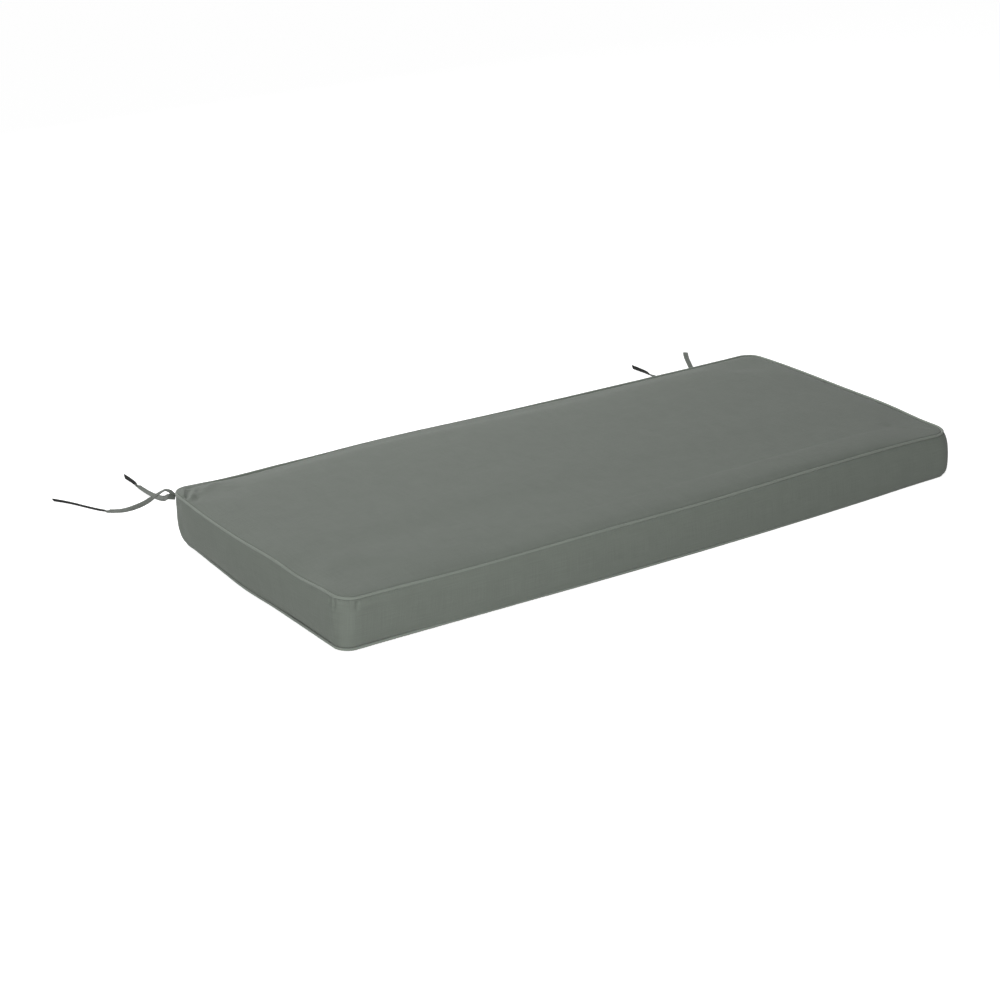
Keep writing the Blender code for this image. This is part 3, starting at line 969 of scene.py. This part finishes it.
# How far the boxing swells past its seams. Each row: side, place, swell in millimetres.
SWELL_ROWS = (
    (FRONT, -0.94, 3.6),
    (FRONT, -0.45, 6.6),
    (FRONT, 0.40, 7.4),
    (FRONT, 0.92, 9.8),
    (RIGHT, -0.75, 11.0),
    (RIGHT, 0.10, 8.0),
    (RIGHT, 0.80, 6.0),
    (BACK, 0.50, 7.0),
    (BACK, -0.50, 6.4),
    (BACK, -0.92, 5.0),
    (LEFT, 0.75, 5.2),
    (LEFT, 0.00, 5.4),
    (LEFT, -0.80, 4.0),
)
# What the filling adds to that swell in places. Millimetres, as above.
FULLER_ROWS = (
    (FRONT, 0.00, 0.3),
    (FRONT, 0.80, 0.6),
    (RIGHT, -0.88, 0.4),
    (RIGHT, 0.40, 0.2),
    (BACK, 0.00, 0.4),
    (BACK, -0.92, 0.0),
    (LEFT, 0.92, 0.2),
    (LEFT, 0.60, 0.2),
    (LEFT, 0.00, 0.4),
    (LEFT, -0.80, 0.2),
)
COVER_STEPS = (84, 34, 20)  # on a long side, a short side and a corner
# A patch's side takes in half of the corner at each of its ends.
PATCH_COLUMNS, PATCH_ROWS = (steps + COVER_STEPS[2] for steps in COVER_STEPS[:2])

# %% Lay out the rings


def bow_felt(inset):
    """How much of the seam's bow and lift a ring at an inset from it still follows."""
    return 1 - (inset / BOW_REACH) ** 2


def seat(line, out, degrees):
    """A ring of the crease that a welt lies in, at an angle round it."""
    turn = np.radians(degrees)[:, None]
    return line + SEAT_RADIUS * (np.cos(turn) * out + np.sin(turn) * UP)


def cover_rings(fullness):
    """The cover's rings from the top panel down and under, at a fullness of 1 or a little less."""
    top, out, places, top_bow, top_lift = seam(*TOP_LINE, COVER_STEPS, TOP_TUCK_ROWS)
    bottom, _, _, low_bow, _ = seam(*BOTTOM_LINE, COVER_STEPS, BOTTOM_TUCK_ROWS)
    tuck = round_the_seam(BOTTOM_TUCK_ROWS, places)[:, :1]
    swell = round_the_seam(SWELL_ROWS, places) + round_the_seam(FULLER_ROWS, places)
    swell *= fullness
    panel_turn, boxing_turn = round_the_seam(TOP_CREASE_ROWS, places).T / MM

    def panel_ring(inset, radii, bow, heights):
        points, outs, _ = rim(inset, radii, COVER_STEPS)
        return np.column_stack([points + outs * (bow * bow_felt(inset))[:, None], heights])

    rings = []
    start = SEAT_RADIUS * np.sin(np.radians(panel_turn))
    puff_height, puff_reach = round_the_seam(PUFF_ROWS, places).T
    for inset in TOP_INSETS:
        deep = inset + SEAT_RADIUS * np.cos(np.radians(panel_turn))
        puff = (puff_height - start) * (1 - np.exp(-deep / puff_reach)) + PANEL_SLOPE * deep
        heights = TOP_SEAM + start + top_lift * bow_felt(inset) + puff * fullness
        rings.append(panel_ring(inset, TOP_RADII, top_bow, heights))
    for share in np.linspace(0, 1, CREASE_RINGS):
        rings.append(seat(top, out, panel_turn + (boxing_turn - panel_turn) * share))
    for down in BOXING_SHARES:
        share = hermite(BOXING_PROFILE[:, 0], BOXING_PROFILE[:, 1], np.array([down]))[0]
        fade = max(down - ROLL_FADES, 0) / (1 - ROLL_FADES)
        rolled = out * tuck * down * (1 - fade**2)
        rings.append(top + (bottom - top) * down + out * swell * share + rolled)
    boxing_turn, panel_turn = round_the_seam(BOTTOM_CREASE_ROWS, places).T / MM
    for share in np.linspace(0, 1, CREASE_RINGS):
        rings.append(seat(bottom, out, boxing_turn + (panel_turn - boxing_turn) * share))
    low_edge = bottom[:, 2] + SEAT_RADIUS * np.sin(np.radians(panel_turn))
    for inset in UNDERSIDE_INSETS:
        heights = low_edge * (1 - inset / UNDERSIDE_ROLL) ** 2
        rings.append(panel_ring(inset, BOTTOM_RADII, low_bow, heights))
    return np.array(rings)


# %% Fill the panels


def patch(ring, crown):
    """The inside of a ring as a grid of points, with a crown that is 0 at the ring."""
    across, along = PATCH_COLUMNS, PATCH_ROWS
    walk = np.vstack([ring, ring[:1]])
    front = walk[: across + 1]
    right = walk[across : across + along + 1]
    back = walk[across + along : 2 * across + along + 1][::-1]
    left = walk[2 * across + along :][::-1]
    spread = front[:, 0] + back[:, 0]
    u = ((spread - spread[0]) / (spread[-1] - spread[0]))[None, :, None]
    spread = left[:, 1] + right[:, 1]
    v = ((spread - spread[0]) / (spread[-1] - spread[0]))[:, None, None]
    sides = (1 - v) * front[None] + v * back[None] + (1 - u) * left[:, None] + u * right[:, None]
    left_corners = (1 - v) * front[0] + v * back[0]
    right_corners = (1 - v) * front[-1] + v * back[-1]
    grid = sides - ((1 - u) * left_corners + u * right_corners)
    grid[:, :, 2] += (crown * (1 - (2 * u - 1) ** 2) * (1 - (2 * v - 1) ** 2))[:, :, 0]
    return grid


def cover_points(fullness):
    """All the cover's points: the rings, then the inside of the top patch, then of the bottom one."""
    rings = cover_rings(fullness)
    patches = patch(rings[0], CROWN * fullness), patch(rings[-1], 0.0)
    insides = [grid[1:-1, 1:-1].reshape(-1, 3) for grid in patches]
    return np.vstack([rings.reshape(-1, 3), *insides])


def patch_numbers(first_ring, first_inner):
    """Which point stands at each place of a patch's grid."""
    columns, rows = PATCH_COLUMNS, PATCH_ROWS
    around = 2 * (rows + columns)
    numbers = np.zeros((rows + 1, columns + 1), int)
    numbers[0, :] = np.arange(columns + 1)
    numbers[:, columns] = columns + np.arange(rows + 1)
    numbers[rows, :] = 2 * columns + rows - np.arange(columns + 1)
    numbers[1:, 0] = 2 * columns + 2 * rows - np.arange(1, rows + 1)
    numbers = first_ring + numbers % around
    inner = np.arange((rows - 1) * (columns - 1)).reshape(rows - 1, columns - 1)
    numbers[1:-1, 1:-1] = first_inner + inner
    return numbers


# %% Join the points into the cover


def cover_faces():
    """The faces of the cover, each with its cloth coordinates, from the fitted shape."""
    rings = cover_rings(1.0)
    points = cover_points(1.0)
    levels, count = rings.shape[:2]
    first_inner = levels * count
    inner_count = (PATCH_COLUMNS - 1) * (PATCH_ROWS - 1)
    # The boxing runs from the middle of one crease to the middle of the other. Its cloth is
    # measured along a ring about a quarter of the way down, and then from ring to ring.
    along = walked_round(rings[len(TOP_INSETS) + CREASE_RINGS + 3])
    apart = np.linalg.norm(np.diff(rings, axis=0), axis=2).mean(axis=1)
    down = np.concatenate([[0], np.cumsum(apart)])
    boxing_from = len(TOP_INSETS) + CREASE_RINGS // 2
    boxing_to = levels - len(UNDERSIDE_INSETS) - CREASE_RINGS + CREASE_RINGS // 2
    faces, cloth = [], []
    for level in range(levels - 1):
        upper, lower = level * count, (level + 1) * count
        for i in range(count):
            j = (i + 1) % count
            face = (upper + i, lower + i, lower + j, upper + j)
            faces.append(face)
            if boxing_from <= level < boxing_to:
                near, far = along[i], along[i + 1]
                high, low = down[level], down[level + 1]
                cloth += [(near, high), (near, low), (far, low), (far, high)]
            else:
                cloth += [tuple(points[k][:2]) for k in face]
    for numbers, turn in (
        (patch_numbers(0, first_inner), 1),
        (patch_numbers((levels - 1) * count, first_inner + inner_count), -1),
    ):
        for row in range(numbers.shape[0] - 1):
            for column in range(numbers.shape[1] - 1):
                face = (
                    numbers[row, column], numbers[row, column + 1],
                    numbers[row + 1, column + 1], numbers[row + 1, column],
                )[::turn]
                faces.append(face)
                cloth += [tuple(points[k][:2]) for k in face]
    return faces, cloth


SLACK = 0.80  # the fullness that the cover is cut to, before it is stuffed
faces, cloth = cover_faces()
cover = make_piece("cushion_cover", cover_points(SLACK), faces, cloth, [cover_canvas])
print("the cover is cut in", len(faces), "faces")

# %% [markdown]
# ## Stuff the cover
#
# Filled cloth is worth simulating: a pressure inside pushes every loose part out until the weave
# holds it, which gives an even roundness with a slight unevenness that is hard to draw. Blender's
# Cloth does this with its pressure setting. Gravity is off, because foam carries the cover. The
# creases at both seams and the part that rests on the bench are pinned. The result may stand off the
# fitted shape by a few millimetres at most, so the cushion keeps its measured size.

# %% Run the cloth
STUFFING_PRESSURE = 4.0
STUFFING_FRAMES = 20
MOST_OFF_FIT = 0.0025
SEAM_HOLD = 0.030  # how far from a seam the cloth is still held close to its fit


def read_vectors(rows, name):
    """A vector of each row of a mesh's data, such as each vertex's place, as an array."""
    found = np.empty(len(rows) * 3, np.float32)
    rows.foreach_get(name, found)
    return found.reshape(-1, 3).astype(float)


def move_points(mesh, points):
    mesh.vertices.foreach_set("co", points.astype(np.float32).ravel())


def search_tree(points):
    """A tree that finds the nearest of the points quickly."""
    tree = KDTree(len(points))
    for i, point in enumerate(points):
        tree.insert(point, i)
    tree.balance()
    return tree


def stuff(piece, fitted):
    """Where each point of the piece lies once pressure has blown it out."""
    rings = cover_rings(1.0)
    levels, count = rings.shape[:2]
    crease_top = range(len(TOP_INSETS), len(TOP_INSETS) + CREASE_RINGS)
    underneath = range(levels - len(UNDERSIDE_INSETS) - CREASE_RINGS, levels)
    held = [level * count + i for level in (*crease_top, *underneath) for i in range(count)]
    inner = (len(fitted) - levels * count) // 2
    held += range(len(fitted) - inner, len(fitted))
    pins = piece.vertex_groups.new(name="held")
    pins.add(held, 1.0, "REPLACE")
    modifier = piece.modifiers.new("stuffing", "CLOTH")
    cloth = modifier.settings
    cloth.quality = 6
    cloth.mass = 0.3
    cloth.tension_stiffness = cloth.compression_stiffness = 15
    cloth.shear_stiffness = 5
    cloth.bending_stiffness = 0.5
    cloth.use_pressure = True
    cloth.uniform_pressure_force = STUFFING_PRESSURE
    cloth.vertex_group_mass = "held"
    cloth.effector_weights.gravity = 0
    modifier.collision_settings.use_collision = False
    modifier.point_cache.frame_start = 1
    modifier.point_cache.frame_end = STUFFING_FRAMES
    scene = bpy.context.scene
    for frame_number in range(1, STUFFING_FRAMES + 1):
        scene.frame_set(frame_number)
    graph = bpy.context.evaluated_depsgraph_get()
    blown_out = piece.evaluated_get(graph)
    settled = read_vectors(blown_out.to_mesh().vertices, "co")
    blown_out.to_mesh_clear()
    piece.modifiers.remove(modifier)
    piece.vertex_groups.remove(pins)
    scene.frame_set(1)
    return settled


def most_off(points):
    """How far each point may stand off its fit: nothing at a seam, most in the open cloth."""
    lines = [seam(*measures, COVER_STEPS)[0] for measures in (TOP_LINE, BOTTOM_LINE)]
    tree = search_tree(np.concatenate(lines))
    away = np.array([tree.find(point)[2] for point in points])[:, None]
    return MOST_OFF_FIT * (1 - np.exp(-away / SEAM_HOLD))


def held_near(points, fitted):
    """The points, drawn back softly so that each stays near its fitted place."""
    off, most = points - fitted, most_off(fitted)
    size = np.maximum(np.linalg.norm(off, axis=1)[:, None], 1e-9)
    return fitted + off * np.tanh(size / most) * most / size


fitted = cover_points(1.0)
settled = stuff(cover, fitted)
stuffed = held_near(settled, fitted)
for label, points in (("blown out", settled), ("held near its fit", stuffed)):
    off = np.linalg.norm(points - fitted, axis=1) / MM
    print(label, "the cover is up to", round(off.max(), 1), "mm off its fit")
move_points(cover.data, stuffed)

# %% [markdown]
# ## Smooth the cover once
#
# The cloth was simulated on cells of up to 2 cm, which get narrower towards the seams. One level of
# subdivision rounds them off. It could stay as a modifier, but it is applied now, so that the
# gathers and creases that follow can be placed on its points.

# %% Subdivide the cover


def apply_subdivision(piece):
    smooth = piece.modifiers.new("smooth", "SUBSURF")
    smooth.levels = smooth.render_levels = 1
    graph = bpy.context.evaluated_depsgraph_get()
    mesh = bpy.data.meshes.new_from_object(piece.evaluated_get(graph), depsgraph=graph)
    piece.modifiers.remove(smooth)
    old, piece.data = piece.data, mesh
    bpy.data.meshes.remove(old)
    mesh.name = piece.name
    mesh.shade_smooth()


apply_subdivision(cover)
print("after subdivision:", len(cover.data.polygons), "faces")

# %% [markdown]
# ## Press in the folds
#
# A sewn cover is never quite smooth at its corners. The boxing is eased round them, so it gathers in
# short puckers under the welt, and each pair of ties pulls the panel into folds that run towards it.
# A finer simulation could find such folds, but not where the photograph has them. So each one is set
# out as a short line with a width and a rise, and the cloth near the line is moved along its own
# normal by a bell-shaped share of the rise. A rise below zero is a crease.

# %% Set out the folds
CORNER_PLACES = {"front left": 0, "front right": 1, "back right": 2, "back left": 3}

# Folds in the top panel. Each row: the corner, where the fold starts and ends, both as how far in
# from the end of the cushion and from its long edge, then its width and its rise, in millimetres.
PANEL_FOLDS = (
    ("back left", (15, 18), (5, 38), 3.0, 2.0),
    ("back left", (21, 24), (6, 47), 3.2, -2.6),
    ("back left", (28, 31), (6, 58), 3.6, 2.5),
    ("back left", (35, 36), (12, 68), 4.0, -1.4),
    ("back left", (70, 20), (17, 52), 6.0, 1.8),
    ("back left", (64, 8), (26, 14), 5.5, -2.2),
    ("front right", (3, 24), (4, 478), 7.0, 1.1),
)
# Folds in the boxing. Each row: the corner, where the fold starts and ends, both as how far round
# the seam from the middle of the corner and how far below the seam, then width and rise as above.
BOXING_FOLDS = (
    ("front left", (-17, 4), (-17, 40), 4.5, 0.7),
    ("front left", (12, 18), (17, 50), 6.0, 0.7),
    ("front left", (-15, 5), (-15, 15), 2.6, -2.6),
    ("front left", (-18.5, 5), (-18.5, 12), 2.2, 1.6),
    ("front left", (-22, 5), (-22, 11), 2.6, -2.4),
    ("front left", (5.5, 6), (6, 13), 2.6, -2.6),
    ("front left", (11.5, 7), (11.5, 12), 3.6, 2.4),
    ("front left", (17.5, 7), (17, 14), 2.4, -2.6),
    ("front left", (-6, 4), (120, 4), 2.2, -1.3),
    ("front left", (22, 13), (100, 12), 7.0, 2.2),
    ("front left", (-26, 70), (-440, 68), 4.5, -1.2),
    ("back left", (24, 12), (24, 22), 13.0, -1.4),
    ("back left", (24, 38), (24, 48), 13.0, 1.4),
)


def place_by_seam(points):
    """How far round the top seam each point is, how far below it, and how far off it."""
    line, _, places, *_ = seam(*TOP_LINE, FINE_STEPS, TOP_TUCK_ROWS)
    walked = walked_round(line)
    tree = search_tree(line * (1, 1, 0))
    nearest = np.array([tree.find((x, y, 0))[1] for x, y, _ in points])
    corners = {
        corner: walked[np.argmin(np.abs((places - place + 2) % 4 - 2))]
        for corner, place in CORNER_PLACES.items()
    }
    off = np.linalg.norm(points - line[nearest], axis=1)
    return walked[nearest], line[nearest, 2] - points[:, 2], off, corners, walked[-1]


def bell(places, start, end, width):
    """How much a fold from start to end is felt at each place: 1 on its line, 0 well away."""
    start, end = np.array(start) * MM, np.array(end) * MM
    way = end - start
    share = np.clip((places - start) @ way / (way @ way), 0, 1)
    off = np.linalg.norm(places - start - share[:, None] * way, axis=1)
    return np.exp(-((off / (width * MM)) ** 2))


# %% Press the folds
PANEL_FROM = 0.0005  # how far above the top seam the panel's folds begin
PANEL_BLEND = 0.002  # and over what height they come in
WELT_HOLD = 0.003  # how near the seam the welt holds the cloth


def press_folds(piece):
    mesh = piece.data
    points = read_vectors(mesh.vertices, "co")
    normals = read_vectors(mesh.vertex_normals, "vector")
    around, below, off, corners, whole = place_by_seam(points)
    rise = np.zeros(len(points))
    on_panel = np.clip((-below - PANEL_FROM) / PANEL_BLEND, 0, 1)
    for corner, start, end, width, height in PANEL_FOLDS:
        signs = CORNER_SIGNS[CORNER_PLACES[corner] - 1]
        places = np.array([LENGTH, DEPTH]) / 2 - points[:, :2] * signs
        rise += height * MM * bell(places, start, end, width) * on_panel
    for corner, start, end, width, height in BOXING_FOLDS:
        from_corner = (around - corners[corner] + whole / 2) % whole - whole / 2
        places = np.column_stack([from_corner, below])
        rise += height * MM * bell(places, start, end, width) * (1 - on_panel)
    rise *= 1 - np.exp(-((off / WELT_HOLD) ** 2))
    move_points(mesh, points + normals * rise[:, None])
    mesh.update()
    lines = len(PANEL_FOLDS) + len(BOXING_FOLDS)
    print("folds of", lines, "lines, up to", round(np.abs(rise).max() / MM, 2), "mm")


press_folds(cover)

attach(cover, "root")
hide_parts("cushion_body")

# %% [markdown]
# ## Floor and light
#
# A studio picture of one dull object needs little: a pale sweep under it and broad lights that leave
# no hard edge. A large panel behind rakes over the top and gives it the slow fall of light towards
# the front and the right. A broad key, low at the left front, lights the boxing, and two small panels
# near the camera bring out the near corner. A weak panel past the right end keeps that end from going
# black. The sweep glows, as a lit table does, and to the camera alone it burns out to white.

# %% Lay the floor
FLOOR_HALF = 9.0
FLOOR_DROP = 0.0004
FLOOR_LIGHT = 0.13  # of light that the sweep gives back to the cushion, as a lit table does
FLOOR_GLOW = 0.70  # of light that only the camera sees, which burns the sweep out to white
PALE = (0.66, 0.66, 0.66, 1.0)
WHITE = (1.0, 1.0, 1.0, 1.0)


def brighten_to_camera(tree, strength, extra, socket):
    """Feed a strength to the socket, and that much extra where the camera sees it directly."""
    path = add_node(tree, "ShaderNodeLightPath", (-500, -300))
    seen = path.outputs["Is Camera Ray"]
    total = math_node(tree, "MULTIPLY_ADD", (-250, -300), seen, extra, strength)
    tree.links.new(total, socket)


def lay_floor():
    signs = ((-1, -1), (1, -1), (1, 1), (-1, 1))
    corners = [(x * FLOOR_HALF, y * FLOOR_HALF, -FLOOR_DROP) for x, y in signs]
    mesh = bpy.data.meshes.new("floor")
    mesh.from_pydata(corners, [], [(0, 1, 2, 3)])
    material = bpy.data.materials.new("pale_floor")
    material.use_nodes = True
    tree = material.node_tree
    shader = tree.nodes["Principled BSDF"]
    set_inputs(shader, Base_Color=PALE, Roughness=0.8, Specular_IOR_Level=0.2, Emission_Color=WHITE)
    brighten_to_camera(tree, FLOOR_LIGHT, FLOOR_GLOW, shader.inputs["Emission Strength"])
    mesh.materials.append(material)
    floor = bpy.data.objects.new("floor", mesh)
    bpy.context.scene.collection.objects.link(floor)


lay_floor()

# %% Light the scene


def hang_lamp(name, data, back, place=(0, 0, 0)):
    """A lamp that shines towards the cushion: back is the direction from there to the lamp."""
    lamp = bpy.data.objects.new(name, data)
    lamp.location = place
    lamp.rotation_euler = (-back).to_track_quat("-Z", "Y").to_euler()
    bpy.context.scene.collection.objects.link(lamp)


def broad_light(name, back, spread, strength):
    """An even light over the whole floor, as from a wall of diffusers a long way off."""
    data = bpy.data.lights.new(name, "SUN")
    data.angle = math.radians(spread)
    data.energy = strength
    hang_lamp(name, data, back)


def soft_panel(name, place, size, power, aim=(0, 0, 0)):
    data = bpy.data.lights.new(name, "AREA")
    data.shape = "RECTANGLE"
    data.size, data.size_y = size
    data.energy = power
    hang_lamp(name, data, Vector(place) - Vector(aim), place)


def light_world(strength):
    """A weak fill from all round, which is plain white to the camera behind the sweep."""
    world = bpy.data.worlds.new("soft_fill")
    world.use_nodes = True
    tree = world.node_tree
    background = set_inputs(tree.nodes["Background"], Color=WHITE)
    brighten_to_camera(tree, strength, 1.0 - strength, background.inputs["Strength"])
    bpy.context.scene.world = world


NEAR_END = (-0.25, -0.1, 0.03)  # of the cushion, where the two small panels are aimed
light_world(0.03)
broad_light("key", from_side(-50, 25), 25, 1.60)
soft_panel("behind", (-0.2, 2.2, 1.4), (2.4, 1.2), 56)
soft_panel("over_the_camera", from_side(-30, 45, 1.8), (0.7, 0.7), 7.6, NEAR_END)
soft_panel("by_the_corner", from_side(-45, 10, 1.6), (0.7, 0.7), 2.2, NEAR_END)
soft_panel("past_the_right_end", from_side(100, 8, 2.5), (1.2, 0.8), 2.5)

# %% [markdown]
# ## Colour
#
# The picture is shown plainly, without a film look, so that the canvas keeps its measured colour.

# %% Show colours as they are
bpy.context.scene.view_settings.view_transform = "Standard"
bpy.context.scene.view_settings.look = "None"
